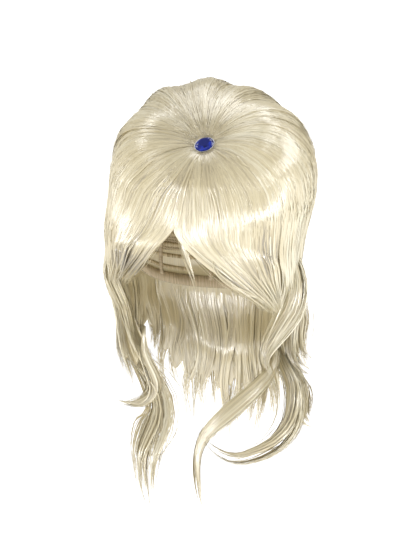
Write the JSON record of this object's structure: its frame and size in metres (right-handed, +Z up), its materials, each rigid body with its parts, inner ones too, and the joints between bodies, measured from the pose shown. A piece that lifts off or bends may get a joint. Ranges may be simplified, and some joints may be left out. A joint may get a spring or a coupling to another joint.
{
  "type": "beehive wig",
  "caption": "Tall pale beehive wig with a combed dome, parted fringe, waved hanging locks and an oval stone set above the fringe.",
  "frame": {"origin": "inside of the cap where it rests on the crown of the head", "axes": "+Z up, -Y the front of the wig, +X to the right of someone who looks at its front"},
  "size_m": [0.2283, 0.2287, 0.4519],
  "materials": {
    "hair": "glossy pale blonde synthetic hair fibre",
    "cap_net": "stretch net and weft bands",
    "setting_metal": "bright plated metal",
    "stone": "clear cut deep blue acrylic"
  },
  "bodies": {
    "root": {"wig_cap": "cap_net", "beehive_crown": "hair", "gem_setting": "setting_metal", "gem_stone": "stone", "fringe_left": "hair", "fringe_right": "hair", "side_fall_left": "hair", "side_fall_right": "hair", "nape_fall": "hair", "cheek_wave_right": "hair", "flip_lock_right": "hair", "chest_curl_right": "hair", "neck_strand_right": "hair", "shoulder_curl_right": "hair", "flick_lock_left": "hair", "chest_lock_left": "hair"}
  },
  "joints": []
}
